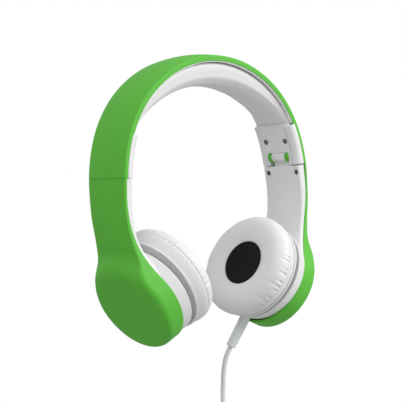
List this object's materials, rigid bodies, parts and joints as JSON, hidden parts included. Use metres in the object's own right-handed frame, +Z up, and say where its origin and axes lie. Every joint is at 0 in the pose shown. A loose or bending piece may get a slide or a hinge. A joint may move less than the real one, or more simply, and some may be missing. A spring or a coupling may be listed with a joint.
{
  "type": "folding on-ear headphones for a child",
  "caption": "Light folding on-ear headphones: a curved headband with a crescent cushion, a slider and a folding arm on each side, round cups with soft ear pads, and a thin lead with a plug.",
  "frame": {"origin": "the lowest point of the cushion's middle, where it rests on the crown of the head", "axes": "+X to the wearer's left, which is the side of the lead, +Y towards the wearer's back, +Z up"},
  "size_m": [0.1534, 0.0637, 0.3471],
  "materials": {
    "green_shell": "soft-touch moulded",
    "white_shell": "moulded, light satin",
    "spring_steel": "rolled",
    "screw_steel": "nickel plated",
    "white_leatherette": "soft leatherette over foam",
    "black_fabric": "woven",
    "dark_plastic": "moulded",
    "magnet": "plated",
    "film": "formed film",
    "white_rubber": "moulded",
    "tie": "paper-backed wire tie",
    "contact_metal": "nickel plated"
  },
  "bodies": {
    "headband": {"headband_shell": "green_shell", "spring_band": "spring_steel", "band_rivets": "screw_steel", "cushion_carrier": "white_shell", "headband_cushion": "white_leatherette"},
    "left_slider": {"left_slider_block": "white_shell", "left_slider_back_plate": "white_shell", "left_slider_screws": "screw_steel", "left_hinge_pin": "screw_steel"},
    "left_arm": {"left_hinge_knuckle": "white_shell", "left_arm_screws": "screw_steel", "left_arm_outer_shell": "green_shell", "left_arm_inner_shell": "white_shell", "strain_relief": "white_rubber", "cord": "white_rubber", "cord_hank": "white_rubber", "hank_tie": "tie", "cord_tail": "white_rubber", "plug_handle": "white_rubber", "plug_contacts": "contact_metal"},
    "left_ring": {"left_swivel_ring": "white_shell", "left_ring_pins": "screw_steel"},
    "left_speaker": {"left_swivel_pin": "screw_steel", "left_speaker_housing": "white_shell", "left_baffle": "dark_plastic", "left_driver_frame": "dark_plastic", "left_driver_magnet": "magnet", "left_diaphragm": "film", "left_ear_pad": "white_leatherette", "left_pad_cover": "black_fabric"},
    "right_slider": {"right_slider_block": "white_shell", "right_slider_back_plate": "white_shell", "right_slider_screws": "screw_steel", "right_hinge_pin": "screw_steel"},
    "right_arm": {"right_hinge_knuckle": "white_shell", "right_arm_screws": "screw_steel", "right_arm_outer_shell": "green_shell", "right_arm_inner_shell": "white_shell"},
    "right_ring": {"right_swivel_ring": "white_shell", "right_ring_pins": "screw_steel"},
    "right_speaker": {"right_swivel_pin": "screw_steel", "right_speaker_housing": "white_shell", "right_baffle": "dark_plastic", "right_driver_frame": "dark_plastic", "right_driver_magnet": "magnet", "right_diaphragm": "film", "right_ear_pad": "white_leatherette", "right_pad_cover": "black_fabric"}
  },
  "joints": [
    {"name": "left_slide", "type": "hinge", "parent": "headband", "child": "left_slider", "pos_m": [-0.00814, 0, -0.05826], "axis": [0, 1, 0], "range_deg": [0, 10.33]},
    {"name": "left_fold", "type": "hinge", "parent": "left_slider", "child": "left_arm", "pos_m": [0.06889, 0, -0.04604], "axis": [0, 1, 0], "range_deg": [0, 41], "deforming": ["cord", "strain_relief"]},
    {"name": "left_tip", "type": "hinge", "parent": "left_arm", "child": "left_ring", "pos_m": [0.04983, 0, -0.11835], "axis": [0, 1, 0], "range_deg": [-2.1, 7.9]},
    {"name": "left_turn", "type": "hinge", "parent": "left_ring", "child": "left_speaker", "pos_m": [0.04983, 0, -0.11835], "axis": [0.4555, 0, 0.8902], "range_deg": [-7.3, 2.7]},
    {"name": "right_slide", "type": "hinge", "parent": "headband", "child": "right_slider", "pos_m": [0.00814, 0, -0.05826], "axis": [0, -1, 0], "range_deg": [0, 10.33]},
    {"name": "right_fold", "type": "hinge", "parent": "right_slider", "child": "right_arm", "pos_m": [-0.06889, 0, -0.04604], "axis": [0, -1, 0], "range_deg": [0, 80]},
    {"name": "right_tip", "type": "hinge", "parent": "right_arm", "child": "right_ring", "pos_m": [-0.04983, 0, -0.11835], "axis": [0, -1, 0], "range_deg": [-4.3, 5.7]},
    {"name": "right_turn", "type": "hinge", "parent": "right_ring", "child": "right_speaker", "pos_m": [-0.04983, 0, -0.11835], "axis": [0.4894, 0, -0.8721], "range_deg": [-8.5, 1.5]}
  ]
}
